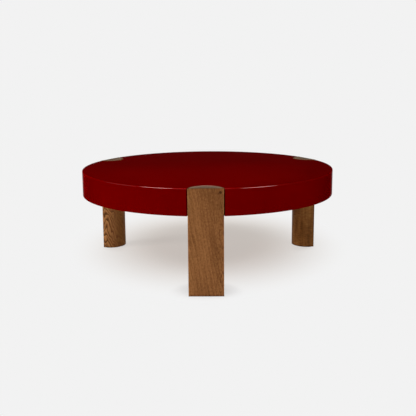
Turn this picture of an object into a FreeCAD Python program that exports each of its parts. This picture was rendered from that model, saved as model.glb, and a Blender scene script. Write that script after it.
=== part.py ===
import FreeCAD, Part
import math
import os

# Round cocktail table: a hollow lacquered drum on three half-round legs.
# Millimetres, +Z up, origin on the floor under the middle of the drum.
# The front leg stands on the -Y side.

# Overall sizes
rim_radius = 533.4                # a 42 inch top
table_height = 412.0              # floor to table top, about 16 1/4 inches
drum_thickness = 104.0            # about 4 1/8 inches
front_angle = -90.0               # direction of the front leg, in degrees

# Drum shell
top_panel_thickness = 19.0
rim_wall = 19.0
bottom_panel_thickness = 12.0
bottom_panel_recess = 5.0         # bottom panel above the rim's lower edge
bottom_panel_clearance = 0.5      # round the edge of the bottom panel
top_edge_round = 4.0
notch_edge_chamfer = 1.2          # also along the rim's lower edge
shadow_gap = 2.0                  # between the lacquered notch and the leg

# Legs, each cut from a round column whose axis stands on the rim
leg_radius = 66.7                 # half of a 5 1/4 inch column
leg_corner_round = 3.0
leg_end_chamfer = 1.5
leg_seat_clearance = 0.2          # between the leg and its block

# Felt pads
pad_thickness = 2.5
pad_inset = 8.0

# Leg blocks inside the drum
block_back = 34.0                 # wood behind the seat
block_cheek = 28.0                # wood on each side of the seat
glue_line = 0.2                   # curved joints with the rim

# Rib frame inside the drum
rib_thickness = 18.0
tie_landing = 62.0                # from the middle of a block to where a tie rib meets it
hub_width = 110.0                 # across flats
housing_depth = 10.0              # spoke let into the hub
rib_joint_clearance = 0.2         # on each side of a housed or lapped rib

# Hidden fasteners and their holes are many-sided, not round, to keep the model light
fastener_sides = 8

# Leg bolts, M8, one above the other, with their washers and threaded inserts
bolt_diameter = 8.0
bolt_length = 60.0
bolt_head_width = 13.0            # across flats
bolt_head_height = 5.3
bolt_hole_clearance = 0.5
bolt_level_shares = [0.25, 0.75]  # of the height of the block
thread_clearance = 0.1
washer_hole_clearance = 0.2
washer_width = 3.8                # from its hole to its edge
washer_thickness = 1.6
insert_wall = 1.9
insert_length = 25.0
insert_setback = 1.0              # insert below the round back of the leg
bore_tip_room = 4.0               # bore past the end of the insert

# Countersunk screws of the bottom panel
screw_diameter = 4.0
screw_head_diameter = 8.0
screw_length = 32.0
screw_tip_length = 5.0
screw_point = 0.8                 # across the blunt end of the tip
screw_clearance = 0.2

# Cuts run this far past what they cut, and edges are found within this distance
overrun = 5.0
match = 0.01

# Legs and bays counter-clockwise from the front, seen from above
leg_sides = ["front", "right", "left"]
bay_sides = ["right", "rear", "left"]

# Levels and distances that follow from the sizes above
leg_count = len(leg_sides)
sector = 360.0 / leg_count
half_sector = math.radians(sector / 2)
leg_angles = [front_angle + number * sector for number in range(leg_count)]
bay_angles = [angle + sector / 2 for angle in leg_angles]
rim_inner_radius = rim_radius - rim_wall
drum_underside = table_height - drum_thickness
panel_underside = table_height - top_panel_thickness
bottom_panel_level = drum_underside + bottom_panel_recess
rib_underside = bottom_panel_level + bottom_panel_thickness
rib_height = panel_underside - rib_underside
lap_level = rib_underside + rib_height / 2
bolt_levels = [rib_underside + share * rib_height for share in bolt_level_shares]
notch_radius = leg_radius + shadow_gap
seat_radius = leg_radius + leg_seat_clearance
face_distance = rim_radius - leg_radius ** 2 / (2 * rim_radius)
leg_back = rim_radius - leg_radius
block_back_plane = rim_radius - seat_radius - block_back
block_half_width = seat_radius + block_cheek
tie_distance = block_back_plane * math.cos(half_sector) + tie_landing * math.sin(half_sector)
hub_face = hub_width / 2
rib_slot_half_width = rib_thickness / 2 + rib_joint_clearance
washer_hole = bolt_diameter + 2 * washer_hole_clearance
washer_diameter = washer_hole + 2 * washer_width
insert_bore = bolt_diameter + 2 * thread_clearance
insert_diameter = insert_bore + 2 * insert_wall
insert_start = leg_back + insert_setback
bolt_start = block_back_plane - washer_thickness
bore_end = max(insert_start + insert_length, bolt_start + bolt_length) + bore_tip_room

origin = FreeCAD.Vector(0, 0, 0)
up = FreeCAD.Vector(0, 0, 1)
outward = FreeCAD.Vector(1, 0, 0)
sideways = FreeCAD.Vector(0, 1, 0)


# Pieces that belong to a leg or a bay are drawn along +X and turned into place.
def turned(shape, angle):
    copy = shape.copy()
    copy.rotate(origin, up, angle)
    return copy


def upright(distance, radius, level, height):
    return Part.makeCylinder(radius, height, FreeCAD.Vector(distance, 0, level))


def slab(start, end, half_width, level, height):
    corner = FreeCAD.Vector(start, -half_width, level)
    return Part.makeBox(end - start, 2 * half_width, height, corner)


# Outline with equal sides about the Z axis, one side square to +X; width is across flats.
def even_outline(sides, width, level):
    turn = 360.0 / sides
    corner = FreeCAD.Vector(width / 2 / math.cos(math.pi / sides), 0, level)
    turns = [FreeCAD.Rotation(up, turn * (number + 0.5)) for number in range(sides)]
    corners = [rotation.multVec(corner) for rotation in turns]
    return Part.makePolygon(corners + corners[:1])


def prism(sides, width, level, height):
    return Part.Face(even_outline(sides, width, level)).extrude(up * height)


# Bar along +X at a level, for bolts and their holes.
def rod(width, start, end, level, sides=fastener_sides):
    bar = prism(sides, width, 0, end - start)
    bar.rotate(origin, sideways, 90)
    bar.translate(FreeCAD.Vector(start, 0, level))
    return bar


def notch_cutter():
    return upright(rim_radius, notch_radius, drum_underside - overrun, drum_thickness + 2 * overrun)


def on_notch(edge, angle):
    centre = FreeCAD.Rotation(up, angle).multVec(outward * rim_radius)
    reaches = [math.hypot(p.x - centre.x, p.y - centre.y) for p in edge.discretize(3)]
    return all(abs(reach - notch_radius) < match for reach in reaches)


def at_level(edge, level):
    return all(abs(p.z - level) < match for p in edge.discretize(3))


def at_radius(edge, radius):
    return all(abs(math.hypot(p.x, p.y) - radius) < match for p in edge.discretize(3))


# Cuts a notch for the leg at each angle.
def notched(shape, angles):
    return shape.cut([turned(notch_cutter(), angle) for angle in angles])


# Top panel: its rounded outer edge runs on into the eased edges of the notches.
def make_top_panel():
    panel = upright(0, rim_radius, panel_underside, top_panel_thickness)
    panel = panel.makeFillet(top_edge_round, [edge for edge in panel.Edges if at_level(edge, table_height)])
    panel = notched(panel, leg_angles)
    edges = [edge for edge in panel.Edges if any(on_notch(edge, angle) for angle in leg_angles)]
    edges = [edge for edge in edges if not at_level(edge, panel_underside)]
    return panel.makeChamfer(notch_edge_chamfer, edges)


# Rim segment: the drum wall from one leg to the next, its ends hollowed to clear the legs.
def make_rim_segment():
    outline = [
        FreeCAD.Vector(rim_inner_radius, 0, drum_underside),
        FreeCAD.Vector(rim_inner_radius, 0, panel_underside),
        FreeCAD.Vector(rim_radius, 0, panel_underside),
        FreeCAD.Vector(rim_radius, 0, drum_underside),
    ]
    wall = Part.Face(Part.makePolygon(outline + outline[:1]))
    segment = notched(wall.revolve(origin, up, sector), [0, sector])
    edges = [edge for edge in segment.Edges if not at_level(edge, panel_underside)]
    edges = [edge for edge in edges if not at_radius(edge, rim_inner_radius)]
    return segment.makeChamfer(notch_edge_chamfer, edges)


# Half-round upright with its flat face outwards.
def half_round(inset, level, height):
    radius = leg_radius - inset
    face = face_distance - inset
    half_chord = math.sqrt(radius ** 2 - (rim_radius - face) ** 2)
    corner = FreeCAD.Vector(face, half_chord, level)
    other_corner = FreeCAD.Vector(face, -half_chord, level)
    back = FreeCAD.Vector(rim_radius - radius, 0, level)
    curve = Part.Arc(corner, back, other_corner).toShape()
    flat = Part.makeLine(other_corner, corner)
    return Part.Face(Part.Wire([curve, flat])).extrude(up * height)


# Leg: runs from its pad to the table top, with two bores in its round back for the inserts.
def make_leg():
    leg = half_round(0, pad_thickness, table_height - pad_thickness)
    ends = [pad_thickness, table_height]
    corners = [edge for edge in leg.Edges if not any(at_level(edge, level) for level in ends)]
    leg = leg.makeFillet(leg_corner_round, corners)
    rims = [edge for edge in leg.Edges if any(at_level(edge, level) for level in ends)]
    leg = leg.makeChamfer(leg_end_chamfer, rims)
    bore = insert_diameter + 2 * thread_clearance
    return leg.cut([rod(bore, leg_back - overrun, bore_end, level) for level in bolt_levels])


def make_felt_pad():
    return half_round(pad_inset, 0, pad_thickness)


# Leg block: a half-round seat in front, a flat back for the washers, cheeks glued to the rim.
def make_leg_block():
    block = slab(block_back_plane, rim_radius, block_half_width, rib_underside, rib_height)
    block = block.common(upright(0, rim_inner_radius - glue_line, rib_underside, rib_height))
    seat = upright(rim_radius, seat_radius, rib_underside - overrun, rib_height + 2 * overrun)
    hole = bolt_diameter + 2 * bolt_hole_clearance
    holes = [rod(hole, block_back_plane - overrun, rim_radius, level) for level in bolt_levels]
    return block.cut([seat] + holes)


# Half the length of a tie rib, measured at a distance from the middle of the drum.
def tie_reach(distance):
    return (block_back_plane - distance * math.cos(half_sector)) / math.sin(half_sector)


# Tie rib: from block to block, mitred to their backs, notched from above for the spoke.
def make_tie_rib():
    near = tie_distance - rib_thickness / 2
    far = tie_distance + rib_thickness / 2
    places = [(near, -1), (far, -1), (far, 1), (near, 1), (near, -1)]
    corners = [FreeCAD.Vector(x, side * tie_reach(x), rib_underside) for x, side in places]
    rib = Part.Face(Part.makePolygon(corners)).extrude(up * rib_height)
    return rib.cut(slab(near - overrun, far + overrun, rib_slot_half_width, lap_level, rib_height))


# Spoke rib: from the hub to the rim, notched from below where it crosses the tie rib.
def make_spoke_rib():
    rib = slab(hub_face - housing_depth, rim_radius, rib_thickness / 2, rib_underside, rib_height)
    rib = rib.common(upright(0, rim_inner_radius - glue_line, rib_underside, rib_height))
    near = tie_distance - rib_slot_half_width
    far = tie_distance + rib_slot_half_width
    return rib.cut(slab(near, far, rib_thickness, lap_level - rib_height, rib_height))


# Hub: a six-sided block that houses the inner ends of the spokes.
def make_rib_hub():
    hub = prism(2 * leg_count, hub_width, rib_underside, rib_height)
    slot_level = rib_underside - overrun
    slot_height = rib_height + 2 * overrun
    slot = slab(hub_face - housing_depth, hub_face + overrun, rib_slot_half_width, slot_level, slot_height)
    return hub.cut([turned(slot, number * sector) for number in range(leg_count)])


def make_bolt(level):
    head = rod(bolt_head_width, bolt_start - bolt_head_height, bolt_start, level, sides=6)
    return head.fuse(rod(bolt_diameter, bolt_start, bolt_start + bolt_length, level))


def make_washer(level):
    washer = rod(washer_diameter, bolt_start, block_back_plane, level)
    return washer.cut(rod(washer_hole, bolt_start - overrun, block_back_plane + overrun, level))


def make_insert(level):
    insert = rod(insert_diameter, insert_start, insert_start + insert_length, level)
    return insert.cut(rod(insert_bore, insert_start - overrun, bore_end, level))


# Countersunk screw, head down and flush with the bottom panel; extra widens it into its hole.
def screw(place, extra):
    head_top = bottom_panel_level + (screw_head_diameter - screw_diameter) / 2
    tip = bottom_panel_level + screw_length + extra
    rings = [
        (screw_head_diameter, bottom_panel_level),
        (screw_diameter, head_top),
        (screw_diameter, tip - screw_tip_length),
        (screw_point, tip),
    ]
    outlines = [even_outline(fastener_sides, width + 2 * extra, level) for width, level in rings]
    solid = Part.makeLoft(outlines, True, True)
    solid.translate(place)
    return solid


# Two screws into each leg block, one into each spoke and one into the hub.
def screw_places():
    block_x = block_back_plane + block_back / 2
    block_y = block_half_width - block_cheek / 2
    spoke_x = (tie_distance + rim_inner_radius) / 2
    places = [origin]
    for leg_angle, bay_angle in zip(leg_angles, bay_angles):
        to_leg = FreeCAD.Rotation(up, leg_angle)
        to_bay = FreeCAD.Rotation(up, bay_angle)
        places += [to_leg.multVec(FreeCAD.Vector(block_x, y, 0)) for y in (-block_y, block_y)]
        places.append(to_bay.multVec(outward * spoke_x))
    return places


# Bottom panel: drops in between the rim segments, with a notch round each leg.
def make_bottom_panel():
    panel_radius = rim_inner_radius - bottom_panel_clearance
    panel = upright(0, panel_radius, bottom_panel_level, bottom_panel_thickness)
    return notched(panel, leg_angles)


screws = [screw(place, 0) for place in screw_places()]
screw_holes = [screw(place, screw_clearance) for place in screw_places()]

nodes = {
    "top_panel": make_top_panel(),
    "bottom_panel": make_bottom_panel().cut(screw_holes),
    "rib_hub": turned(make_rib_hub(), bay_angles[0]).cut(screw_holes),
    "bottom_panel_screws": Part.makeCompound(screws),
}
for side, angle in zip(leg_sides, leg_angles):
    nodes["leg_" + side] = turned(make_leg(), angle)
    nodes["felt_pad_" + side] = turned(make_felt_pad(), angle)
    nodes["leg_block_" + side] = turned(make_leg_block(), angle).cut(screw_holes)
for side, leg_angle, bay_angle in zip(bay_sides, leg_angles, bay_angles):
    nodes["rim_segment_" + side] = turned(make_rim_segment(), leg_angle)
    nodes["tie_rib_" + side] = turned(make_tie_rib(), bay_angle)
    nodes["spoke_rib_" + side] = turned(make_spoke_rib(), bay_angle).cut(screw_holes)

# Every leg has the same pair of bolts, washers and inserts.
leg_fittings = {"leg_bolts": make_bolt, "bolt_washers": make_washer, "leg_inserts": make_insert}
for name, make_fitting in leg_fittings.items():
    pair = Part.makeCompound([make_fitting(level) for level in bolt_levels])
    nodes[name] = Part.makeCompound([turned(pair, angle) for angle in leg_angles])

os.makedirs("parts", exist_ok=True)
for name, shape in nodes.items():
    shape.exportStep("parts/" + name + ".step")
    print(name, len(shape.Solids), shape.isValid(), round(shape.Volume))
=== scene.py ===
import math

import bpy
from mathutils import Euler, Matrix, Vector


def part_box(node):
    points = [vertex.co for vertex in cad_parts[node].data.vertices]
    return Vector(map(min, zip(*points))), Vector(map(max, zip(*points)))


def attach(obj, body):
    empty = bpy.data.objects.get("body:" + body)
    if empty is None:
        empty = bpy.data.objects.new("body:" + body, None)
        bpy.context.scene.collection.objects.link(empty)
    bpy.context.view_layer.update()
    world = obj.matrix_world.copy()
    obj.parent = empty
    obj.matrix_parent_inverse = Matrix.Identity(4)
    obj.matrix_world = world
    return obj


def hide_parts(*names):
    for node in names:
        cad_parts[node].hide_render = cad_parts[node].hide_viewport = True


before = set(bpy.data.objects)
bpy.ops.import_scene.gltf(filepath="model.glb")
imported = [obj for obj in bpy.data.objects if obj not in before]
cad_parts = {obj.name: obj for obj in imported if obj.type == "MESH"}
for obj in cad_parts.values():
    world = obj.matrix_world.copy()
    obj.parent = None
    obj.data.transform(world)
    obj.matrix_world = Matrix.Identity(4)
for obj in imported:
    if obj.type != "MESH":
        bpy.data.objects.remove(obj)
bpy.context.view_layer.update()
mm = 0.001
print("frame loaded:", len(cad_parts), "nodes")

# Sizes that several pieces share, read from the frame
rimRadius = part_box("top_panel")[1].x
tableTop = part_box("top_panel")[1].z
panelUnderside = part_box("top_panel")[0].z
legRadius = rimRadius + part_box("leg_front")[1].y  # from the rim circle to the round back
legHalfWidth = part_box("leg_front")[1].x
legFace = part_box("leg_front")[0].y

# Others that several pieces share
legAngles = {"front": -90, "right": 30, "left": 150}
bayAngles = {"right": -30, "rear": 90, "left": 210}
shadowGap = 2 * mm            # open line round each leg
notchRadius = legRadius + shadowGap
edgeRound = 4 * mm            # upper edge of the drum
easedEdge = 1.2 * mm          # lacquered edges along the notches and under the rim
easedSteps = 3
overcut = 1 * mm              # how far a cutter runs past what it cuts
closeEnough = 0.02 * mm


def around(angle, distance, sideways=0):  # a point out from the middle of the table
    turn = math.radians(angle)
    x = distance * math.cos(turn) - sideways * math.sin(turn)
    y = distance * math.sin(turn) + sideways * math.cos(turn)
    return x, y


def linear(hexColour):  # sRGB hex to linear RGBA
    values = [int(hexColour[i:i + 2], 16) / 255 for i in (1, 3, 5)]
    return [v / 12.92 if v <= 0.04045 else ((v + 0.055) / 1.055) ** 2.4 for v in values] + [1.0]


def add(tree, kind, inputs={}, **settings):  # one node with its settings, values and links
    node = tree.nodes.new("ShaderNode" + kind)
    for name, value in settings.items():
        setattr(node, name, value)
    for name, value in inputs.items():
        if isinstance(value, bpy.types.NodeSocket):
            tree.links.new(value, node.inputs[name])
        else:
            node.inputs[name].default_value = value
    return node


mixShare, mixFirst, mixSecond, mixResult = 0, 6, 7, 2  # sockets of a Mix node that blends colours


def setStops(ramp, stops):  # colour stops of a Color Ramp, as (place, hex)
    elements = ramp.color_ramp.elements
    while len(elements) < len(stops):
        elements.new(1.0)
    for element, (place, colour) in zip(elements, stops):
        element.position = place
        element.color = linear(colour)
    return ramp


def newMaterial(name):
    material = bpy.data.materials.new(name)
    material.use_nodes = True
    tree = material.node_tree
    tree.nodes.clear()
    place = add(tree, "TexCoord").outputs["Object"]
    return material, tree, place


# Camera at the photograph's viewing angle
cameraView = {
    "distance": 3218 * mm,    # on the floor, from the middle of the table
    "height": 890.2 * mm,
    "azimuth": 0.746,         # degrees round from the front leg
    "heading": 0.719,         # degrees left of straight back, almost at the middle
    "pitch": 11.58,           # degrees down
    "roll": -0.394,
    "lens": 65.21,            # mm, on this sensor
    "sensor": 36,
    "farthest": 300,          # metres
}
bpy.ops.object.select_all(action="DESELECT")
cameraPlace = around(legAngles["front"] + cameraView["azimuth"], cameraView["distance"])
bpy.ops.object.camera_add(location=(*cameraPlace, cameraView["height"]))
camera = bpy.context.object
camera.name = "photoCamera"
lookDown = Euler((math.radians(90 - cameraView["pitch"]), 0, math.radians(cameraView["heading"])))
roll = Matrix.Rotation(math.radians(cameraView["roll"]), 3, "Z")
camera.rotation_euler = (lookDown.to_matrix() @ roll).to_euler()
camera.data.sensor_width = cameraView["sensor"]
camera.data.lens = cameraView["lens"]
camera.data.clip_end = cameraView["farthest"]
bpy.context.scene.camera = camera
bpy.context.scene.view_settings.view_transform = "Standard"
print("camera placed")


# Studio room: a pale backdrop, and above it a dim band and grey walls. The lacquer mirrors the same backdrop
# under a darker room, so that its red stays deep.
studio = {
    "pale": "#F2F2F2",
    "room": ((4.4, "#F2F2F2"), (6, "#3A3A3A"), (8.5, "#3A3A3A"), (26, "#8E8E8E")),  # degrees up and colour
    "mirrored": ((4.4, "#F2F2F2"), (6, "#242424")),
}
world = bpy.data.worlds.new("studioRoom")
bpy.context.scene.world = world
world.use_nodes = True
worldTree = world.node_tree
worldTree.nodes.clear()
direction = add(worldTree, "TexCoord").outputs["Generated"]
skyward = add(worldTree, "SeparateXYZ", {0: direction}).outputs["Z"]
rooms = []
for bands in ("room", "mirrored"):
    stops = [(math.sin(math.radians(elevation)), colour) for elevation, colour in studio[bands]]
    rooms.append(setStops(add(worldTree, "ValToRGB", {"Fac": skyward}), stops).outputs["Color"])
rays = add(worldTree, "LightPath").outputs
room = add(worldTree, "Mix", {mixShare: rays["Is Glossy Ray"], mixFirst: rooms[0], mixSecond: rooms[1]},
           data_type="RGBA").outputs[mixResult]
inView = add(worldTree, "Math", {0: rays["Is Camera Ray"], 1: rays["Is Transmission Ray"]}, operation="ADD",
             use_clamp=True).outputs[0]
room = add(worldTree, "Mix", {mixShare: inView, mixFirst: room, mixSecond: linear(studio["pale"])},
           data_type="RGBA").outputs[mixResult]
background = add(worldTree, "Background", {"Color": room, "Strength": 1.0})
add(worldTree, "OutputWorld", {"Surface": background.outputs[0]})

# Lamps: softboxes left and right, a panel overhead, and dim cards that draw soft lines on the lacquered edge.
# Azimuth and elevation in degrees, sizes in metres, share of full light at the table
lamps = {
    "softboxLeft": {"aim": (-163, 8.2), "distance": 2.9, "size": (1.5, 0.5), "share": 0.43,
                    "mirrored": False},
    "stripLeft": {"aim": (-136, 33), "distance": 2.9, "size": (1.4, 0.6), "share": 0.11},
    "softboxRight": {"aim": (-43, 30), "distance": 3.3, "size": (1.82, 0.52), "share": 0.097},
    "cardFront": {"aim": (-75, 7), "distance": 3.8, "size": (2.4, 0.6), "share": 0.042},
    "cardLeft": {"aim": (-172, 23), "distance": 3.5, "size": (2.4, 1.15), "share": 0.011},
    "cardAbove": {"aim": (-95, 36), "distance": 3.0, "size": (2.6, 0.85), "share": 0.018},
    "cardRear": {"aim": (108, 10.6), "distance": 4.0, "size": (4.6, 0.28), "share": 0.010},
    "overheadPanel": {"aim": (-95, 69), "distance": 2.1, "size": (1.7, 1.4), "share": 0.61},
}
for name, lamp in lamps.items():
    azimuth, elevation = lamp["aim"]
    reach = lamp["distance"] * math.cos(math.radians(elevation))
    height = tableTop + lamp["distance"] * math.sin(math.radians(elevation))
    bpy.ops.object.light_add(type="AREA", location=(*around(azimuth, reach), height))
    box = bpy.context.object
    box.name = name
    box.rotation_euler = (0, math.radians(90 - elevation), math.radians(azimuth))
    box.data.shape = "ELLIPSE"
    box.data.size_y, box.data.size = lamp["size"]
    box.data.energy = (math.pi * lamp["distance"]) ** 2 * lamp["share"]
    box.visible_camera = False
    box.visible_glossy = lamp.get("mirrored", True)  # off where the top would mirror a bright patch

# Floor: pale and matt, with a light shadow under the table, painted warmer there, and a little more shade at
# the feet
floorShade = {
    "size": 240,              # metres, as all lengths here
    "shadeWarmth": "#F2EBE4",        # painted warm tint of the shadow close under the table
    "lift": 0.522,            # share of the floor that shows pale in shadow too
    "middle": 0.311,          # behind the middle of the table
    "stretch": (1.133, 0.867),  # narrower from side to side than from front to back
    "openFrom": 0.243,        # from its middle, where the shade starts to end
    "openAt": 0.757,
    "footMiddle": 0.442,      # out from the middle of the table to the shade at a foot
    "footFrom": 0.061,        # from there
    "footAt": 0.165,
    "footLift": 0.674,
}
bpy.ops.object.select_all(action="DESELECT")
bpy.ops.mesh.primitive_plane_add(size=floorShade["size"], location=(0, 0, 0))
floor = bpy.context.object
floor.name = "studioFloor"
floorMaterial, floorTree, spot = newMaterial("palePaintedFloor")
wide, deep = floorShade["stretch"]
oval = add(floorTree, "Mapping", {"Vector": spot, "Location": (0, -deep * floorShade["middle"], 0),
                                  "Scale": (wide, deep, 1)}).outputs[0]
away = add(floorTree, "VectorMath", {0: oval}, operation="LENGTH").outputs["Value"]
opened = add(floorTree, "MapRange", {"Value": away, "From Min": floorShade["openFrom"],
                                     "From Max": floorShade["openAt"]},
             interpolation_type="SMOOTHSTEP").outputs["Result"]
shade = add(floorTree, "Mix", {mixShare: opened, mixFirst: linear(floorShade["shadeWarmth"]),
                               mixSecond: linear(studio["pale"])}, data_type="RGBA").outputs[mixResult]
paint = add(floorTree, "BsdfPrincipled", {"Base Color": shade, "Roughness": 1.0, "Specular IOR Level": 0.0})
glow = add(floorTree, "Emission", {"Color": shade, "Strength": 1.0})
rays = add(floorTree, "LightPath").outputs
inView = rays["Is Camera Ray"]
for kind in ("Is Glossy Ray", "Is Transmission Ray"):
    inView = add(floorTree, "Math", {0: inView, 1: rays[kind]}, operation="ADD").outputs[0]
lift = add(floorTree, "MapRange", {"Value": opened, "To Min": floorShade["lift"]}).outputs["Result"]
for angle in legAngles.values():
    foot = (*around(angle, floorShade["footMiddle"]), 0)
    away = add(floorTree, "VectorMath", {0: spot, 1: foot}, operation="DISTANCE").outputs["Value"]
    atFoot = add(floorTree, "MapRange", {"Value": away, "From Min": floorShade["footFrom"],
                                         "From Max": floorShade["footAt"], "To Min": floorShade["footLift"]},
                 interpolation_type="SMOOTHSTEP").outputs["Result"]
    lift = add(floorTree, "Math", {0: lift, 1: atFoot}, operation="MINIMUM").outputs[0]
lift = add(floorTree, "Math", {0: inView, 1: lift}, operation="MULTIPLY", use_clamp=True).outputs[0]
mixed = add(floorTree, "MixShader", {0: lift, 1: paint.outputs[0], 2: glow.outputs[0]})
add(floorTree, "OutputMaterial", {"Surface": mixed.outputs[0]})
floor.data.materials.append(floorMaterial)
print("studio lit")


# Modelling helpers
sharpAngle = math.radians(35)  # edges that turn by more are corners
endSlope = 0.9                # a face whose normal stands up more than this is an end
seamWidth = 0.005 * mm        # seams up to this wide are closed


def makeActive(piece):
    bpy.ops.object.select_all(action="DESELECT")
    piece.select_set(True)
    bpy.context.view_layer.objects.active = piece


def editAll(piece):  # edit mode with everything selected
    makeActive(piece)
    bpy.ops.object.mode_set(mode="EDIT")
    bpy.ops.mesh.select_all(action="SELECT")


def startCylinder(name, radius, low, high, sides, place=(0, 0)):
    bpy.ops.object.select_all(action="DESELECT")
    middle = (*place, (low + high) / 2)
    bpy.ops.mesh.primitive_cylinder_add(vertices=sides, radius=radius, depth=high - low, location=middle)
    bpy.ops.object.transform_apply(location=True, rotation=True, scale=True)
    piece = bpy.context.object
    piece.name = piece.data.name = name
    return piece


def choose(piece, kind, test, sharpOnly=False):  # selects edges by their ends, or faces by middle and normal
    makeActive(piece)
    bpy.ops.object.mode_set(mode="EDIT")
    bpy.ops.mesh.select_mode(type=kind)
    bpy.ops.mesh.select_all(action="DESELECT")
    if sharpOnly:
        bpy.ops.mesh.edges_select_sharp(sharpness=sharpAngle)
    bpy.ops.object.mode_set(mode="OBJECT")
    mesh = piece.data
    for vertex in mesh.vertices:
        vertex.select = False
    for face in mesh.polygons:
        face.select = kind == "FACE" and test(face.center, face.normal)
    for edge in mesh.edges:
        wanted = kind == "EDGE" and (edge.select or not sharpOnly)
        edge.select = wanted and test(*[mesh.vertices[i].co for i in edge.vertices])
    for element in [e for e in [*mesh.edges, *mesh.polygons] if e.select]:
        for i in element.vertices:
            mesh.vertices[i].select = True
    bpy.ops.object.mode_set(mode="EDIT")


def facesUp(middle, normal):
    return normal.z > endSlope


def facesDown(middle, normal):
    return normal.z < -endSlope


def isLevel(a, b):
    return abs(a.z - b.z) < closeEnough


def easeEdges(width, segments=easedSteps):  # rounds the chosen edges
    bpy.ops.mesh.bevel(offset=width, segments=segments, profile=0.5, affect="EDGES")
    bpy.ops.object.mode_set(mode="OBJECT")


def combine(piece, other, operation="DIFFERENCE", keep=False):  # cuts the other shape away, or adds it
    makeActive(piece)
    bpy.ops.object.modifier_add(type="BOOLEAN")
    piece.modifiers[-1].operation = operation
    piece.modifiers[-1].solver = "EXACT"
    piece.modifiers[-1].object = other
    bpy.ops.object.modifier_apply(modifier=piece.modifiers[-1].name)
    if not keep:
        bpy.data.objects.remove(other)


def growEnd(rise, factor=1):  # extrudes the chosen end along Z and widens or narrows it about the axis
    bpy.ops.mesh.extrude_region_move(TRANSFORM_OT_translate={"value": (0, 0, rise)})
    bpy.ops.transform.resize(value=(factor, factor, 1), center_override=(0, 0, 0))


def growThread(sizes, length):  # rings from crest to root and back
    for turn in range(round(length / sizes["pitch"])):
        growEnd(sizes["pitch"] / 2, sizes["root"] / sizes["crest"])
        growEnd(sizes["pitch"] / 2, sizes["crest"] / sizes["root"])


def hollowOut(piece, wall):  # turns a solid round into a ring with this wall
    choose(piece, "FACE", lambda middle, normal: abs(normal.z) > endSlope)
    bpy.ops.mesh.inset(thickness=wall)
    bpy.ops.mesh.bridge_edge_loops()
    bpy.ops.object.mode_set(mode="OBJECT")


def settle(piece, location, tilt=0):  # lays a piece modelled upright, then fixes it in its mesh
    makeActive(piece)
    piece.location = location
    piece.rotation_euler.x = math.radians(tilt)
    bpy.ops.object.transform_apply(location=True, rotation=True, scale=True)


def smoothOff(piece):  # closes seams, turns faces outwards and shades flats flat
    editAll(piece)
    bpy.ops.mesh.remove_doubles(threshold=seamWidth)
    bpy.ops.mesh.normals_make_consistent(inside=False)
    bpy.ops.object.mode_set(mode="OBJECT")
    bpy.ops.object.shade_smooth_by_angle(angle=sharpAngle)
    bpy.ops.object.modifier_add(type="WEIGHTED_NORMAL")
    piece.modifiers[-1].keep_sharp = True
    bpy.ops.object.modifier_apply(modifier=piece.modifiers[-1].name)


def copyTurned(piece, name, angle):  # a copy with its own mesh, turned about the middle of the table
    makeActive(piece)
    bpy.ops.object.duplicate()
    copy = bpy.context.object
    copy.name = copy.data.name = name
    bpy.ops.transform.rotate(value=-math.radians(angle), orient_axis="Z", center_override=(0, 0, 0))
    bpy.ops.object.transform_apply(location=True, rotation=True, scale=True)
    return copy


def joinPieces(pieces, name):
    makeActive(pieces[0])
    for piece in pieces:
        piece.select_set(True)
    bpy.ops.object.join()
    pieces[0].name = pieces[0].data.name = name
    return pieces[0]


def scatter(piece, spots, name):  # copies of an upright piece, joined into one object
    copies = []
    for spot in spots[1:]:
        makeActive(piece)
        bpy.ops.object.duplicate()
        settle(bpy.context.object, (*spot, 0))
        copies.append(bpy.context.object)
    settle(piece, (*spots[0], 0))
    return joinPieces([piece, *copies], name)


def dress(piece, node, material):  # finish, body and the CAD node that it stands for
    piece.data.materials.clear()
    piece.data.materials.append(material)
    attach(piece, "root")
    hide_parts(node)


def mottle(tree, place, finish):  # tones in clouds of a real width, and the clouds
    cloud = add(tree, "TexNoise", {"Vector": place, "Scale": 1 / finish["cloudWidth"],
                                   "Detail": finish["cloudDetail"]})
    tone = setStops(add(tree, "ValToRGB", {"Fac": cloud.outputs["Fac"]}), finish["tones"])
    return tone.outputs["Color"], cloud


def awayFrom(tree, place, axis=(0, 0, 0)):  # distance from an upright axis
    flat = add(tree, "Mapping", {"Vector": place, "Scale": (1, 1, 0)}).outputs[0]
    return add(tree, "VectorMath", {0: flat, 1: axis}, operation="DISTANCE").outputs["Value"]


# Red polyester lacquer, sprayed on board and polished: deep even colour with gloss in the depth of the dye,
# so that what it reflects comes back red; painted highlight along the top edge and round the notches, painted
# shade in the gaps round the legs
lacquer = {
    "tones": ((0.35, "#680000"), (0.65, "#6D0000")),
    "cloudWidth": 160 * mm,   # slow change of tone
    "cloudDetail": 3.0,
    "dyedGloss": 0.35,        # share of the colour that mirrors
    "slantTint": (0.35, 0.0, 0.0, 1.0),  # and stays red at a slant
    "roughness": 0.09,
    # painted shade in the gap round each leg, so that the gap reads dark
    "gapShadeDark": "#0C0000",
    "gapShadeEdge": 1.8 * mm,      # painted shade this far beyond the wall of each notch
    "gapShadeTop": (2 * mm, 3 * mm),  # from here down, so that the table top stays red
    "edgeHighlightRed": "#7E0000",     # painted highlight: brighter red over the rounded edge
    "edgeFeather": 1 * mm,
    "glintLineRed": "#A40000",  # painted highlight, brighter still on the line where the lamps glint
    "glintLineDyedGloss": 0.7,
    "glintLine": (2.1 * mm, 2.75 * mm),  # below the table top
    "edgeGloss": 1.0,         # uncoloured glint there
    "edgeIndex": 2.9,
    "edgeRoughness": 0.05,
    "glintSlant": (0.38, 0.55),  # it fades as the edge turns away: 0 face on, 1 edge on
    "notchGloss": 0.3,        # the same glint along the upper edges of the notches, with painted highlight there too
    "feather": 0.2 * mm,      # soft sides of these lines
    "peelWidth": 9 * mm,      # real peel is 2 to 4 mm, drawn coarser so that it shows
    "peelDepth": 0.006 * mm,
    "peelStrength": 0.6,
}


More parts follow.
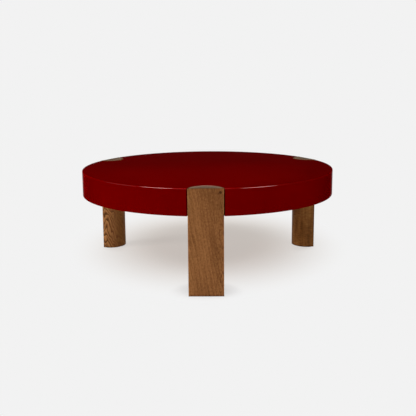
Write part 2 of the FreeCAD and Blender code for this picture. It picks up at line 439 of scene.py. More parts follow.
def redLacquer():
    material, tree, place = newMaterial("sprayedRedLacquer")
    height = add(tree, "SeparateXYZ", {0: place}).outputs["Z"]
    tone = mottle(tree, place, lacquer)[0]
    feather = lacquer["feather"]

    # painted shade in the gaps, but not on the table top
    nearest = 1.0
    for angle in legAngles.values():
        apart = awayFrom(tree, place, (*around(angle, rimRadius), 0))
        nearest = add(tree, "Math", {0: nearest, 1: apart}, operation="MINIMUM").outputs[0]
    edge = notchRadius + lacquer["gapShadeEdge"]
    inGapShade = add(tree, "MapRange", {"Value": nearest, "From Min": edge, "From Max": edge - feather}).outputs[0]
    upper, lower = [tableTop - depth for depth in lacquer["gapShadeTop"]]
    below = add(tree, "MapRange", {"Value": height, "From Min": upper, "From Max": lower}).outputs[0]
    inGapShade = add(tree, "Math", {0: inGapShade, 1: below}, operation="MULTIPLY").outputs[0]
    colour = add(tree, "Mix", {mixShare: inGapShade, mixFirst: tone, mixSecond: linear(lacquer["gapShadeDark"])},
                 data_type="RGBA").outputs[mixResult]

    # painted highlight: brighter red over the rounded edge
    reach = awayFrom(tree, place)
    inner = rimRadius - edgeRound
    foot = tableTop - edgeRound
    soft = lacquer["edgeFeather"]
    rounded = add(tree, "MapRange", {"Value": reach, "From Min": inner, "From Max": inner + soft}).outputs[0]
    above = add(tree, "MapRange", {"Value": height, "From Min": foot - soft / 2, "From Max": foot + soft / 2})
    rounded = add(tree, "Math", {0: rounded, 1: above.outputs[0]}, operation="MULTIPLY").outputs[0]
    colour = add(tree, "Mix", {mixShare: rounded, mixFirst: colour, mixSecond: linear(lacquer["edgeHighlightRed"])},
                 data_type="RGBA").outputs[mixResult]

    # painted highlight and gloss on a line along it, where the lamps glint
    outer = rimRadius - lacquer["glintLine"][1]
    upper, lower = [tableTop - depth for depth in lacquer["glintLine"]]
    gloss = add(tree, "MapRange", {"Value": reach, "From Min": outer, "From Max": outer + 2 * feather,
                                   "To Max": lacquer["edgeGloss"]}).outputs[0]
    for start, end in ((lower - feather / 2, lower), (upper + feather / 2, upper)):
        inBand = add(tree, "MapRange", {"Value": height, "From Min": start, "From Max": end}).outputs[0]
        gloss = add(tree, "Math", {0: gloss, 1: inBand}, operation="MULTIPLY").outputs[0]

    # and along the upper edges of the notches; both lines are painted brighter red, a painted highlight
    edge = notchRadius + easedEdge
    eased = add(tree, "MapRange", {"Value": nearest, "From Min": edge, "From Max": edge - feather,
                                   "To Max": lacquer["notchGloss"]}).outputs[0]
    level = tableTop - easedEdge
    above = add(tree, "MapRange", {"Value": height, "From Min": level - feather, "From Max": level})
    eased = add(tree, "Math", {0: eased, 1: above.outputs[0]}, operation="MULTIPLY").outputs[0]
    gloss = add(tree, "Math", {0: gloss, 1: eased}, operation="MAXIMUM").outputs[0]
    colour = add(tree, "Mix", {mixShare: gloss, mixFirst: colour, mixSecond: linear(lacquer["glintLineRed"])},
                 data_type="RGBA").outputs[mixResult]
    dyed = add(tree, "MapRange", {"Value": gloss, "To Min": lacquer["dyedGloss"],
                                  "To Max": lacquer["glintLineDyedGloss"]}).outputs[0]

    # the glint is lost where the edge turns away
    slant = add(tree, "LayerWeight", {"Blend": 0.5}).outputs["Facing"]
    near, far = lacquer["glintSlant"]
    glint = add(tree, "MapRange", {"Value": slant, "From Min": far, "From Max": near}).outputs[0]
    glint = add(tree, "Math", {0: glint, 1: gloss}, operation="MULTIPLY").outputs[0]

    peel = add(tree, "TexNoise", {"Vector": place, "Scale": 1 / lacquer["peelWidth"], "Detail": 1.0})
    bump = add(tree, "Bump", {"Height": peel.outputs["Fac"], "Strength": lacquer["peelStrength"],
                              "Distance": lacquer["peelDepth"]})
    shader = add(tree, "BsdfPrincipled", {
        "Base Color": colour, "Metallic": dyed, "Roughness": lacquer["roughness"],
        "Specular IOR Level": 0.0, "Specular Tint": lacquer["slantTint"],
        "Coat Weight": glint, "Coat Roughness": lacquer["edgeRoughness"], "Coat IOR": lacquer["edgeIndex"],
        "Normal": bump.outputs["Normal"],
    })
    add(tree, "OutputMaterial", {"Surface": shader.outputs[0]})
    return material


# Satin coat sprayed over board where it is seen only from below: flat red, soft sheen, raised fibres
undercoat = {
    "tones": ((0.35, "#5A0A08"), (0.6, "#6A0606")),
    "cloudWidth": 120 * mm,
    "cloudDetail": 4.0,
    "roughness": 0.42,
    "fibreWidth": 3 * mm,
    "fibreDepth": 0.1 * mm,
    "fibreStrength": 0.4,
}


def redUndercoat():
    material, tree, place = newMaterial("satinRedUndercoat")
    tone = mottle(tree, place, undercoat)[0]
    fibre = add(tree, "TexNoise", {"Vector": place, "Scale": 1 / undercoat["fibreWidth"], "Detail": 3.0})
    bump = add(tree, "Bump", {"Height": fibre.outputs["Fac"], "Strength": undercoat["fibreStrength"],
                              "Distance": undercoat["fibreDepth"]})
    shader = add(tree, "BsdfPrincipled", {"Base Color": tone, "Roughness": undercoat["roughness"],
                                          "Normal": bump.outputs["Normal"]})
    add(tree, "OutputMaterial", {"Surface": shader.outputs[0]})
    return material


# Oak, planed, stained brown and satin varnished: growth rings cut lengthways, open pores filled dark by the
# stain, end grain greyer. Rings, fibres and pores are finer in the wood, and drawn coarser so that they show
oak = {
    "stain": ((0.08, "#46270C"), (0.5, "#7E4F2A"), (0.95, "#AB7545")),
    "middleTone": 0.5,        # of the stain and of every layer of the grain
    "shadeWarmth": "#FFFFE6",        # painted warmer tint on the shaded side of a leg
    "shadeWarmthFrom": (0.7, 0.2),   # none and all of it, at these shares of the leg's half width
    "roughness": 0.5,
    "poreRoughness": 0.2,     # more in the pores
    "specular": 0.06,
    "wander": (80, 280),      # slow drift of the grain: width and length in mm
    "ripple": (26, 60),       # quicker drift
    "ringMiddle": 0.6,        # the saw-tooth of the rings about this
    "ringFaded": 0.25,        # share of them left where they fade
    "layers": {               # width and length in mm, and detail
        "fibre": (5, 160, 4),
        "speck": (4, 8, 2),
        "pore": (2.6, 16, 1),
        "flake": (18, 5, 2),
        "cloud": (50, 190, 2),
    },
    "poreOpen": (0.56, 0.7),  # values of their layer at which pores start and are full
    "poreGather": ((0.3, 0.4), (0.9, 1.6)),  # share of the half width and how many, towards one corner
    "poreDepth": 0.12 * mm,
    "reliefStrength": 0.5,
    "paintedCornerLight": 4 * mm,          # strip along each corner, where highlight and shade are painted
    "footBand": 6 * mm,         # darker band at the foot
    "footBandTone": -0.25,
    "knotTone": -0.7,
    "endTones": ((0.0, "#584231"), (1.0, "#7F6752")),
    "endPales": (0.4, 0.95),  # shares of the leg's radius over which the end grain pales
    "endLeast": 0.3,          # paleness at its middle
    "endFigure": 0.6,         # how far the grain of the sides shows there
    "endRings": 0.3,          # and the rings
    "endRimShade": (6 * mm, 2.5 * mm),  # painted shade along the round, from and to this far inside it
    "endRimShadeColour": "#46270C",
    "endFacing": (0.75, 0.97),  # upright part of the normal, from side to end grain
}
# Each leg's own cut: heart of the tree from the leg's axis (outwards, sideways), tilt in degrees, taper of
# the growth cones, ring width, drift of the grain, how bold the rings are and where they fade, tone and its
# rise up the leg (the rear legs' lighter tones partly painted light for their place in shade), weight of the
# painted warm tint on the shaded side, tone of the corners (painted highlight on the front leg, painted shade
# on the others), knot (sideways, up, radius) and the weight of each layer. Lengths are in mm
legFigure = {
    "front": {
        "pith": (-90, -220), "tilt": (9, 1), "taper": 0, "ringWidth": 12, "wander": 22, "ripple": 6,
        "bold": 0.2, "fade": (200, 320), "tone": 0.11, "rise": -0.1, "shadeWarmth": 0, "paintedCornerLight": 0.2,
        "knot": (52, 392, 6),
        "weights": {"fibre": 0.32, "speck": 0.55, "pore": -0.25, "flake": 0.2, "cloud": 0.55},
    },
    "right": {
        "pith": (240, 60), "tilt": (1, -1), "taper": 0, "ringWidth": 8, "wander": 16, "ripple": 5,
        "bold": 0.2, "fade": (100, 400), "tone": 0.27, "rise": 0.39, "shadeWarmth": 1, "paintedCornerLight": -0.25,
        "knot": None,
        "weights": {"fibre": 0.35, "speck": 0.35, "pore": -0.2, "flake": 0.7, "cloud": 1.7},
    },
    "left": {
        "pith": (-16, 53), "tilt": (1, 0), "taper": 0.42, "ringWidth": 13, "wander": 24, "ripple": 42,
        "bold": 1.3, "fade": (18, 40), "tone": 0.38, "rise": 0, "shadeWarmth": 1, "paintedCornerLight": -0.2,
        "knot": None,
        "weights": {"fibre": 0.5, "speck": 0.3, "pore": -0.2, "flake": 0.1, "cloud": 0.2},
    },
}


def waveScale(width):  # of a Wave node, which makes 20 / (2 pi) bands per unit
    return math.pi / 10 / width


def alongGrain(tree, place, width, length):  # a place scaled for a pattern of this size in mm
    scale = (1 / width / mm, 1 / width / mm, 1 / length / mm)
    return add(tree, "Mapping", {"Vector": place, "Scale": scale}).outputs[0]


def weigh(tree, tone, value, middle, weight):  # the tone, and a weight of the value about its middle
    centred = add(tree, "Math", {0: value, 1: middle}, operation="SUBTRACT").outputs[0]
    return add(tree, "Math", {0: centred, 1: weight, 2: tone}, operation="MULTIPLY_ADD").outputs[0]


def stainedOak(side):
    figure = legFigure[side]
    middleTone = oak["middleTone"]
    material, tree, place = newMaterial("stainedOak" + side.title())
    axis = (*around(legAngles[side], rimRadius), 0)
    turn = (0, 0, math.radians(legAngles[side]))
    inLeg = add(tree, "Mapping", {"Vector": place, "Location": axis, "Rotation": turn},
                vector_type="TEXTURE").outputs[0]
    outward, sideways, upward = add(tree, "SeparateXYZ", {0: inLeg}).outputs

    # grain that drifts slowly and ripples
    grain = inLeg
    for name in ("wander", "ripple"):
        drift = alongGrain(tree, inLeg, *oak[name])
        drift = add(tree, "TexNoise", {"Vector": drift, "Scale": 1.0, "Detail": 1.0}).outputs["Color"]
        drift = add(tree, "VectorMath", {0: drift, 1: [middleTone] * 3}, operation="SUBTRACT").outputs[0]
        drift = add(tree, "VectorMath", {0: drift, "Scale": figure[name] * mm}, operation="SCALE").outputs[0]
        grain = add(tree, "VectorMath", {0: grain, 1: drift}, operation="ADD").outputs[0]

    # growth rings about the heart of the tree
    pith = (figure["pith"][0] * mm, figure["pith"][1] * mm, tableTop / 2)
    tilt = (math.radians(figure["tilt"][0]), math.radians(figure["tilt"][1]), 0)
    heart = add(tree, "Mapping", {"Vector": grain, "Location": pith, "Rotation": tilt},
                vector_type="TEXTURE").outputs[0]
    alongHeart = add(tree, "SeparateXYZ", {0: heart}).outputs["Z"]
    fromHeart = awayFrom(tree, heart)
    grown = add(tree, "Math", {0: alongHeart, 1: figure["taper"], 2: fromHeart}, operation="MULTIPLY_ADD")
    grown = add(tree, "CombineXYZ", {"X": grown.outputs[0]}).outputs[0]
    rings = add(tree, "TexWave", {"Vector": grown, "Scale": waveScale(figure["ringWidth"] * mm)},
                wave_type="BANDS", bands_direction="X", wave_profile="SAW").outputs["Fac"]
    near, far = figure["fade"]
    bold = add(tree, "MapRange", {"Value": fromHeart, "From Min": near * mm, "From Max": far * mm,
                                  "To Min": figure["bold"],
                                  "To Max": figure["bold"] * oak["ringFaded"]}).outputs[0]
    # each leg's tone; the rear legs' lighter tones are partly painted light for their place in shade
    tone = weigh(tree, middleTone + figure["tone"], rings, oak["ringMiddle"], bold)

    # fibres, specks, pores, rays and clouds, each stretched along or across the grain
    layers = {}
    for name, (width, length, detail) in oak["layers"].items():
        layer = alongGrain(tree, heart, width, length)
        layers[name] = add(tree, "TexNoise", {"Vector": layer, "Scale": 1.0, "Detail": detail}).outputs["Fac"]
    shut, wideOpen = oak["poreOpen"]
    pore = add(tree, "MapRange", {"Value": layers["pore"], "From Min": shut, "From Max": wideOpen}).outputs[0]
    (fewAt, few), (manyAt, many) = oak["poreGather"]
    gather = add(tree, "MapRange", {"Value": sideways, "From Min": fewAt * legHalfWidth,
                                    "From Max": manyAt * legHalfWidth,
                                    "To Min": few, "To Max": many}).outputs[0]
    pore = add(tree, "Math", {0: pore, 1: gather}, operation="MULTIPLY").outputs[0]
    layers["pore"] = add(tree, "Math", {0: pore, 1: middleTone}, operation="ADD").outputs[0]
    for name, weight in figure["weights"].items():
        tone = weigh(tree, tone, layers[name], middleTone, weight)

    # change of tone up the leg, painted highlight and shade along the corners, foot and knot
    rise = add(tree, "MapRange", {"Value": upward, "From Max": tableTop, "To Min": -figure["rise"] / 2,
                                  "To Max": figure["rise"] / 2}).outputs[0]
    tone = add(tree, "Math", {0: tone, 1: rise}, operation="ADD").outputs[0]
    across = add(tree, "Math", {0: sideways}, operation="ABSOLUTE").outputs[0]
    corner = add(tree, "MapRange", {"Value": across, "From Min": legHalfWidth - oak["paintedCornerLight"],
                                    "From Max": legHalfWidth}).outputs[0]
    faceDepth = -rimRadius - legFace
    outer = add(tree, "MapRange", {"Value": outward, "From Min": faceDepth - 2 * oak["paintedCornerLight"],
                                   "From Max": faceDepth}).outputs[0]
    corner = add(tree, "Math", {0: corner, 1: outer}, operation="MULTIPLY").outputs[0]
    foot = add(tree, "MapRange", {"Value": upward, "From Min": 2 * oak["footBand"],
                                  "From Max": oak["footBand"] / 2}).outputs[0]
    marks = [(corner, figure["paintedCornerLight"]), (foot, oak["footBandTone"])]
    if figure["knot"]:
        knotSideways, knotUp, knotRadius = [length * mm for length in figure["knot"]]
        onFace = add(tree, "Mapping", {"Vector": grain, "Scale": (0, 1, 1)}).outputs[0]
        knotPlace = (0, knotSideways, knotUp)
        apart = add(tree, "VectorMath", {0: onFace, 1: knotPlace}, operation="DISTANCE").outputs["Value"]
        knot = add(tree, "MapRange", {"Value": apart, "From Min": knotRadius, "From Max": knotRadius / 3})
        marks.append((knot.outputs[0], oak["knotTone"]))
    for mark, weight in marks:
        tone = add(tree, "Math", {0: mark, 1: weight, 2: tone}, operation="MULTIPLY_ADD").outputs[0]

    # the stain's colours, and a painted warmer tint on the leg's shaded side
    stain = setStops(add(tree, "ValToRGB", {"Fac": tone}), oak["stain"]).outputs["Color"]
    none, full = [share * legHalfWidth for share in oak["shadeWarmthFrom"]]
    shadeWarmthShare = add(tree, "MapRange", {"Value": sideways, "From Min": none, "From Max": full,
                                    "To Max": figure["shadeWarmth"]}).outputs[0]
    stain = add(tree, "Mix", {mixShare: shadeWarmthShare, mixFirst: stain, mixSecond: linear(oak["shadeWarmth"])},
                data_type="RGBA", blend_type="MULTIPLY").outputs[mixResult]

    # end grain that pales towards the round, with painted shade along its rim
    fromAxis = awayFrom(tree, inLeg)
    near, far = [share * legRadius for share in oak["endPales"]]
    pales = add(tree, "MapRange", {"Value": fromAxis, "From Min": near, "From Max": far,
                                   "To Min": oak["endLeast"]}).outputs[0]
    pales = weigh(tree, pales, tone, middleTone, oak["endFigure"])
    pales = weigh(tree, pales, rings, oak["ringMiddle"], oak["endRings"])
    endGrain = setStops(add(tree, "ValToRGB", {"Fac": pales}), oak["endTones"]).outputs["Color"]
    near, far = [legRadius - inside for inside in oak["endRimShade"]]
    endRimShade = add(tree, "MapRange", {"Value": fromAxis, "From Min": near, "From Max": far}).outputs[0]
    endGrain = add(tree, "Mix", {mixShare: endRimShade, mixFirst: endGrain, mixSecond: linear(oak["endRimShadeColour"])},
                   data_type="RGBA").outputs[mixResult]
    upright = add(tree, "SeparateXYZ", {0: add(tree, "TexCoord").outputs["Normal"]}).outputs["Z"]
    upright = add(tree, "Math", {0: upright}, operation="ABSOLUTE").outputs[0]
    sideUntil, endFrom = oak["endFacing"]
    atEnd = add(tree, "MapRange", {"Value": upright, "From Min": sideUntil, "From Max": endFrom}).outputs[0]
    colour = add(tree, "Mix", {mixShare: atEnd, mixFirst: stain, mixSecond: endGrain}, data_type="RGBA")

    rough = add(tree, "Math", {0: pore, 1: oak["poreRoughness"], 2: oak["roughness"]},
                operation="MULTIPLY_ADD")
    relief = add(tree, "Math", {0: pore, 1: -1.0, 2: layers["fibre"]}, operation="MULTIPLY_ADD")
    bump = add(tree, "Bump", {"Height": relief.outputs[0], "Strength": oak["reliefStrength"],
                              "Distance": oak["poreDepth"]})
    shader = add(tree, "BsdfPrincipled", {
        "Base Color": colour.outputs[mixResult], "Roughness": rough.outputs[0],
        "Specular IOR Level": oak["specular"], "Normal": bump.outputs["Normal"],
    })
    add(tree, "OutputMaterial", {"Surface": shader.outputs[0]})
    return material


# Dark brown wool felt, pressed: matt, hairy, slightly mottled
felt = {
    "tones": ((0.3, "#2A2018"), (0.7, "#4A3A2C")),
    "cloudWidth": 0.8 * mm,   # width of the hairs
    "cloudDetail": 4.0,
    "hairCurl": 1.5,
    "hairDepth": 0.3 * mm,
    "hairStrength": 0.8,
    "sheen": 0.3,
}


def pressedFelt():
    material, tree, place = newMaterial("pressedWoolFelt")
    tone, hair = mottle(tree, place, felt)
    hair.inputs["Distortion"].default_value = felt["hairCurl"]
    bump = add(tree, "Bump", {"Height": hair.outputs["Fac"], "Strength": felt["hairStrength"],
                              "Distance": felt["hairDepth"]})
    shader = add(tree, "BsdfPrincipled", {"Base Color": tone, "Roughness": 1.0, "Sheen Weight": felt["sheen"],
                                          "Normal": bump.outputs["Normal"]})
    add(tree, "OutputMaterial", {"Surface": shader.outputs[0]})
    return material


# Zinc plate on turned steel: cool grey metal with slight blue-grey clouding
zinc = {
    "tones": ((0.35, "#A4A9AD"), (0.65, "#C4C8CB")),
    "cloudWidth": 4 * mm,
    "cloudDetail": 4.0,
    "roughness": (0.22, 0.42),
}


def zincPlate():
    material, tree, place = newMaterial("zincPlatedSteel")
    tone, cloud = mottle(tree, place, zinc)
    polished, dull = zinc["roughness"]
    rough = add(tree, "MapRange", {"Value": cloud.outputs["Fac"], "To Min": polished, "To Max": dull})
    shader = add(tree, "BsdfPrincipled", {"Base Color": tone, "Roughness": rough.outputs["Result"],
                                          "Metallic": 1.0})
    add(tree, "OutputMaterial", {"Surface": shader.outputs[0]})
    return material


# Brass, turned: warm yellow metal, dulled in patches
brass = {
    "tones": ((0.35, "#9A7836"), (0.65, "#C9A24E")),
    "cloudWidth": 3 * mm,
    "cloudDetail": 4.0,
    "roughness": 0.3,
}


def turnedBrass():
    material, tree, place = newMaterial("turnedBrass")
    tone = mottle(tree, place, brass)[0]
    shader = add(tree, "BsdfPrincipled", {"Base Color": tone, "Roughness": brass["roughness"],
                                          "Metallic": 1.0})
    add(tree, "OutputMaterial", {"Surface": shader.outputs[0]})
    return material


# Birch plywood, sawn and bare: pale veneer with faint lengthways grain, edges striped light and dark
ply = {
    "tones": ((0.4, "#C09C6C"), (0.85, "#D8BE94")),
    "plyWidth": 1.4 * mm,
    "plyWeight": 0.35,
    "grain": (4, 90),         # width and length in mm
    "roughness": 0.7,
    "blockGapShade": "#1A0503",     # painted shade: blocks are dark where the gap round a leg shows them
    "blockGapShadeFrom": (452 * mm, 458 * mm),  # out from the middle of the table
}


def birchPly(name, turn):  # turn lays the board's length along X and its plies across Y
    material, tree, place = newMaterial("birchPly" + name)
    board = add(tree, "Mapping", {"Vector": place, "Rotation": turn}, vector_type="TEXTURE").outputs[0]
    plies = add(tree, "TexWave", {"Vector": board, "Scale": waveScale(ply["plyWidth"]) / 2},
                bands_direction="Y").outputs["Fac"]
    width, length = [size * mm for size in ply["grain"]]
    grain = add(tree, "Mapping", {"Vector": board, "Scale": (1 / length, 1 / width, 1 / width)}).outputs[0]
    grain = add(tree, "TexNoise", {"Vector": grain, "Scale": 1.0, "Detail": 3.0}).outputs["Fac"]
    mixed = add(tree, "Math", {0: plies, 1: ply["plyWeight"], 2: grain}, operation="MULTIPLY_ADD").outputs[0]
    tone = setStops(add(tree, "ValToRGB", {"Fac": mixed}), ply["tones"]).outputs["Color"]
    reach = awayFrom(tree, place)
    near, far = ply["blockGapShadeFrom"]
    blockGapShadeShare = add(tree, "MapRange", {"Value": reach, "From Min": near, "From Max": far}).outputs["Result"]
    colour = add(tree, "Mix", {mixShare: blockGapShadeShare, mixFirst: tone, mixSecond: linear(ply["blockGapShade"])},
                 data_type="RGBA")
    shader = add(tree, "BsdfPrincipled", {"Base Color": colour.outputs[mixResult],
                                          "Roughness": ply["roughness"]})
    add(tree, "OutputMaterial", {"Surface": shader.outputs[0]})
    return material


# Cutter in the shape of the three leg notches
notchSizes = {"above": 100 * mm, "sides": 144, "match": 0.1 * mm}
notchCutters = []
for side, angle in legAngles.items():
    high = tableTop + notchSizes["above"]
    place = around(angle, rimRadius)
    notchCutters.append(startCylinder("notch" + side, notchRadius, 0, high, notchSizes["sides"], place))
notchCutter = joinPieces(notchCutters, "notchCutter")


def onNotch(point):  # true where a point lies on the wall of a leg notch
    reaches = []
    for angle in legAngles.values():
        x, y = around(angle, rimRadius)
        reaches.append(abs(math.hypot(point.x - x, point.y - y) - notchRadius))
    return min(reaches) < notchSizes["match"]


# Top panel: round, notched for the legs, its upper edge rounded over
topPanelSizes = {"edgeSteps": 8, "sides": 360}


def makeTopPanel():
    sizes = topPanelSizes
    panel = startCylinder("topPanelLacquered", rimRadius, panelUnderside, tableTop, sizes["sides"])
    choose(panel, "EDGE", lambda a, b: min(a.z, b.z) > tableTop - closeEnough)
    easeEdges(edgeRound, sizes["edgeSteps"])
    combine(panel, notchCutter, keep=True)
    above = panelUnderside + closeEnough
    choose(panel, "EDGE", lambda a, b: onNotch(a) and onNotch(b) and max(a.z, b.z) > above, sharpOnly=True)
    easeEdges(easedEdge)
    smoothOff(panel)
    return panel


# Rim: one drum wall, hollowed and cut by the notches into three segments
rimSizes = {"wall": 19 * mm, "insideMatch": 1 * mm, "sides": 360}


def makeRimSegments():
    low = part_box("rim_segment_rear")[0].z
    ring = startCylinder("rimRing", rimRadius, low, panelUnderside, rimSizes["sides"])
    hollowOut(ring, rimSizes["wall"])
    midWall = rimRadius - rimSizes["wall"] / 2
    insideWall = rimRadius - rimSizes["wall"] + rimSizes["insideMatch"]

    def lowerOuter(a, b):
        return max(a.z, b.z) < low + closeEnough and min(a.to_2d().length, b.to_2d().length) > midWall

    choose(ring, "EDGE", lowerOuter, sharpOnly=True)
    easeEdges(easedEdge)
    combine(ring, notchCutter, keep=True)

    def notchOuter(a, b):
        inside = max(a.to_2d().length, b.to_2d().length) < insideWall
        atJoint = min(a.z, b.z) > panelUnderside - closeEnough
        return onNotch(a) and onNotch(b) and not inside and not atJoint

    choose(ring, "EDGE", notchOuter, sharpOnly=True)
    easeEdges(easedEdge)
    smoothOff(ring)
    editAll(ring)
    bpy.ops.mesh.separate(type="LOOSE")
    bpy.ops.object.mode_set(mode="OBJECT")
    segments = {}
    for piece in list(bpy.context.selected_objects):
        middle = sum((vertex.co.to_2d() for vertex in piece.data.vertices), Vector((0, 0)))
        side = max(bayAngles, key=lambda bay: middle.dot(Vector(around(bayAngles[bay], 1))))
        piece.name = piece.data.name = "rimSegment" + side.title()
        segments[side] = piece
    return segments


def makeHalfRound(name, box, inset, sizes):  # an upright half-round, its flat face to the front
    low, high = [corner.z for corner in box]
    face = legFace + inset
    piece = startCylinder(name, legRadius - inset, low, high, sizes["sides"], (0, -rimRadius))
    editAll(piece)
    bpy.ops.mesh.bisect(plane_co=(0, face, 0), plane_no=(0, -1, 0), use_fill=True, clear_outer=True)
    bpy.ops.object.mode_set(mode="OBJECT")

    def isCorner(a, b):
        return max(a.y, b.y) < face + closeEnough and abs(a.z - b.z) > (high - low) / 2

    choose(piece, "EDGE", isCorner, sharpOnly=True)
    easeEdges(sizes["cornerRound"], sizes["cornerSteps"])
    choose(piece, "EDGE", isLevel, sharpOnly=True)
    easeEdges(sizes["endRound"])
    return piece


# Leg: a half-round upright, flat face outwards, with two bores in its back
legSizes = {
    "sides": 192,
    "cornerRound": 3 * mm,
    "cornerSteps": 5,
    "endRound": 1.5 * mm,
    "boreRadius": 6.1 * mm,
    "boreDepth": 28.2 * mm,
    "boreOvercut": 5 * mm,
    "boreSides": 32,
}
boltShares = (0.25, 0.75)     # heights of the bolts, as shares of a block's height
blockLow, blockHigh = [corner.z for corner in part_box("leg_block_front")]
boltLevels = [blockLow + share * (blockHigh - blockLow) for share in boltShares]


def makeLeg():
    leg = makeHalfRound("legFront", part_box("leg_front"), 0, legSizes)
    past = legSizes["boreOvercut"]
    bores = []
    for level in boltLevels:
        bore = startCylinder("bore", legSizes["boreRadius"], 0, legSizes["boreDepth"] + past,
                             legSizes["boreSides"])
        settle(bore, (0, legRadius - rimRadius + past, level), tilt=90)
        bores.append(bore)
    combine(leg, joinPieces(bores, "bores"))
    smoothOff(leg)
    return leg


# Felt pad under each leg: a thin half-round, pressed round at its edge
padSizes = {"inset": 8 * mm, "sides": 160, "cornerRound": 3 * mm, "cornerSteps": 4, "endRound": 0.8 * mm}


def makePad():
    pad = makeHalfRound("feltPadFront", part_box("felt_pad_front"), padSizes["inset"], padSizes)
    smoothOff(pad)
    return pad


# Bottom panel: closes the drum, notched for the legs, countersunk for its screws
bottomPanelSizes = {
    "edgeRound": 0.8 * mm,
    "sides": 360,
    "boreRadius": 2.1 * mm,
    "boreSides": 24,
    "sinkRadius": 4.15 * mm,
    "sinkDepth": 2 * mm,
}
screwPlaces = {               # outwards and sideways, besides one in the middle
    "blocks": ((449.5 * mm, -80.9 * mm), (449.5 * mm, 80.9 * mm)),
    "bays": ((392.2 * mm, 0),),
}


def screwSpots():
    spots = [(0, 0)]
    for group, angles in (("blocks", legAngles), ("bays", bayAngles)):
        for angle in angles.values():
            spots += [around(angle, *spot) for spot in screwPlaces[group]]
    return spots


def makeBottomPanel():
    sizes = bottomPanelSizes
    low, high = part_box("bottom_panel")[0].z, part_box("bottom_panel")[1].z
    panel = startCylinder("bottomPanelCoated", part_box("bottom_panel")[1].y, low, high, sizes["sides"])
    combine(panel, notchCutter, keep=True)
    choose(panel, "EDGE", lambda a, b: max(a.z, b.z) < low + closeEnough, sharpOnly=True)
    easeEdges(sizes["edgeRound"])
    sink = startCylinder("sink", sizes["boreRadius"], low + sizes["sinkDepth"], high + overcut,
                         sizes["boreSides"])
    choose(sink, "FACE", facesDown)
    growEnd(-sizes["sinkDepth"], sizes["sinkRadius"] / sizes["boreRadius"])
    growEnd(-overcut)
    bpy.ops.object.mode_set(mode="OBJECT")
    combine(panel, scatter(sink, screwSpots(), "sinks"))
    smoothOff(panel)
    return panel


# Countersunk screw, head down: plain neck, ring-cut thread drawn coarser than life, cross recess
screwSizes = {
    "crest": 2.0 * mm,        # radii
    "root": 1.45 * mm,
    "head": 4.0 * mm,
    "headDepth": 2.0 * mm,
    "headRim": 0.3 * mm,
    "neck": 9 * mm,
    "length": 32 * mm,
    "pitch": 2.0 * mm,
    "tip": 4 * mm,
    "tipShare": 0.1,          # of the thread's radius, at the point
    "recess": (4.4 * mm, 1.0 * mm, 1.5 * mm),
    "sides": 24,
}


def makeScrews():
    sizes = screwSizes
    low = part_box("bottom_panel")[0].z
    neckTop = low + sizes["headDepth"] + sizes["neck"]
    screw = startCylinder("screw", sizes["crest"], low + sizes["headDepth"], neckTop, sizes["sides"])
    choose(screw, "FACE", facesDown)
    growEnd(sizes["headRim"] - sizes["headDepth"], sizes["head"] / sizes["crest"])
    growEnd(-sizes["headRim"])
    bpy.ops.object.mode_set(mode="OBJECT")
    choose(screw, "FACE", facesUp)
    growThread(sizes, sizes["length"] - sizes["headDepth"] - sizes["neck"] - sizes["tip"])
    growEnd(sizes["tip"], sizes["tipShare"])
    bpy.ops.object.mode_set(mode="OBJECT")
    length, width, depth = sizes["recess"]
    for turn in (0, 90):
        bpy.ops.object.select_all(action="DESELECT")
        bpy.ops.mesh.primitive_cube_add(size=1, location=(0, 0, low), rotation=(0, 0, math.radians(turn)),
                                        scale=(length, width, 2 * depth))
        slot = bpy.context.object
        bpy.ops.object.transform_apply(location=True, rotation=True, scale=True)
        combine(screw, slot)
    smoothOff(screw)
    return scatter(screw, screwSpots(), "bottomPanelScrews")


# Bolt, washer and threaded insert that hold a leg: two sets to a leg, laid outwards through its block
boltSizes = {
    "headAcross": 13 * mm,
    "headHeight": 5.3 * mm,
    "headRound": 0.6 * mm,
    "roundSteps": 2,          # also of the washer
    "crest": 4.0 * mm,        # radii of the thread
    "root": 3.45 * mm,
    "plain": 36 * mm,
    "length": 60 * mm,
    "pitch": 2.4 * mm,        # drawn coarser than life
    "from": 430.9 * mm,       # outwards, under the head
    "sides": 32,              # also of the washer and the insert
}
washerSizes = {"outer": 8.0 * mm, "hole": 4.2 * mm, "thick": 1.6 * mm, "edgeRound": 0.25 * mm}
insertSizes = {
    "outer": 6.0 * mm,        # radii
    "waist": 5.5 * mm,
    "bore": 4.1 * mm,
    "length": 25 * mm,
    "ribs": 10,
    "from": 467.7 * mm,
}


def makeBolt():
    sizes = boltSizes
    corner = sizes["headAcross"] / 2 / math.cos(math.radians(30))  # of a hexagon
    head = startCylinder("bolt", corner, -sizes["headHeight"], 0, 6)
    choose(head, "EDGE", lambda a, b: max(a.z, b.z) < closeEnough - sizes["headHeight"])
    easeEdges(sizes["headRound"], sizes["roundSteps"])
    shank = startCylinder("shank", sizes["crest"], -sizes["headHeight"] / 2, sizes["plain"], sizes["sides"])
    choose(shank, "FACE", facesUp)
    growThread(sizes, sizes["length"] - sizes["plain"])
    bpy.ops.object.mode_set(mode="OBJECT")
    combine(head, shank, "UNION")
    smoothOff(head)
    return head


def makeWasher():
    sizes = washerSizes
    washer = startCylinder("washer", sizes["outer"], 0, sizes["thick"], boltSizes["sides"])
    hollowOut(washer, sizes["outer"] - sizes["hole"])
    choose(washer, "EDGE", isLevel, sharpOnly=True)
    easeEdges(sizes["edgeRound"], boltSizes["roundSteps"])
    smoothOff(washer)
    return washer


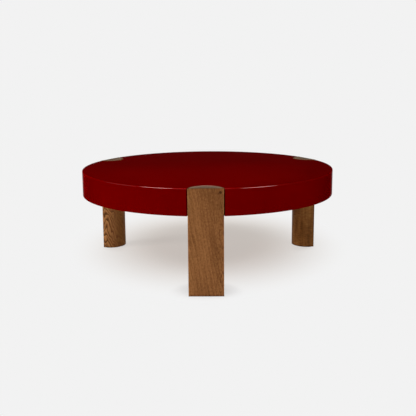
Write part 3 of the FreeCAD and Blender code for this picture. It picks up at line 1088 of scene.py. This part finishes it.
def makeInsert():
    sizes = insertSizes
    step = sizes["length"] / sizes["ribs"] / 2
    insert = startCylinder("insert", sizes["outer"], 0, step, boltSizes["sides"])
    choose(insert, "FACE", facesUp)
    for rib in range(sizes["ribs"]):
        growEnd(step / 2, sizes["waist"] / sizes["outer"])
        growEnd(step / 2)
        if rib < sizes["ribs"] - 1:
            growEnd(step / 2, sizes["outer"] / sizes["waist"])
            growEnd(step / 2)
    bpy.ops.object.mode_set(mode="OBJECT")
    bore = startCylinder("bore", sizes["bore"], -overcut, sizes["length"] + overcut, boltSizes["sides"])
    combine(insert, bore)
    smoothOff(insert)
    return insert


def setOfSix(piece, outwards, name):  # at both levels of each leg, laid outwards
    sets = []
    for level in boltLevels:
        makeActive(piece)
        bpy.ops.object.duplicate()
        placed = bpy.context.object
        settle(placed, (0, -outwards, level), tilt=90)
        sets.append(placed)
        for angle in (legAngles["right"], legAngles["left"]):
            sets.append(copyTurned(placed, name + str(angle), angle - legAngles["front"]))
    bpy.data.objects.remove(piece)
    return joinPieces(sets, name)


topPanel = makeTopPanel()
dress(topPanel, "top_panel", redLacquer())
print("top panel modelled")

for side, segment in makeRimSegments().items():
    dress(segment, "rim_segment_" + side, topPanel.data.materials[0])
print("rim modelled")

firstLeg = makeLeg()
firstPad = makePad()
feltMaterial = pressedFelt()
for side, angle in legAngles.items():
    turn = angle - legAngles["front"]
    leg = copyTurned(firstLeg, "leg" + side.title(), turn) if turn else firstLeg
    pad = copyTurned(firstPad, "feltPad" + side.title(), turn) if turn else firstPad
    dress(leg, "leg_" + side, stainedOak(side))
    dress(pad, "felt_pad_" + side, feltMaterial)
print("legs and pads modelled")

dress(makeBottomPanel(), "bottom_panel", redUndercoat())
bpy.data.objects.remove(notchCutter)
print("bottom panel modelled")

zincMaterial = zincPlate()
dress(makeScrews(), "bottom_panel_screws", zincMaterial)
bolts = setOfSix(makeBolt(), boltSizes["from"], "legBolts")
dress(bolts, "leg_bolts", zincMaterial)
washers = setOfSix(makeWasher(), boltSizes["from"], "boltWashers")
dress(washers, "bolt_washers", zincMaterial)
inserts = setOfSix(makeInsert(), insertSizes["from"], "legInserts")
dress(inserts, "leg_inserts", turnedBrass())
print("fasteners modelled")

# CAD nodes that keep their own shape
carried = {}
flatBoard = birchPly("Stacked", (math.radians(90), 0, 0))
for name in ("rib_hub", "leg_block_front", "leg_block_right", "leg_block_left"):
    carried[name] = flatBoard
for side, angle in bayAngles.items():
    carried["spoke_rib_" + side] = birchPly("Spoke" + side.title(), (0, 0, math.radians(angle)))
    carried["tie_rib_" + side] = birchPly("Tie" + side.title(), (0, 0, math.radians(angle + 90)))
for name, material in carried.items():
    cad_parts[name].material_slots[0].material = material
print("materials on the CAD nodes")
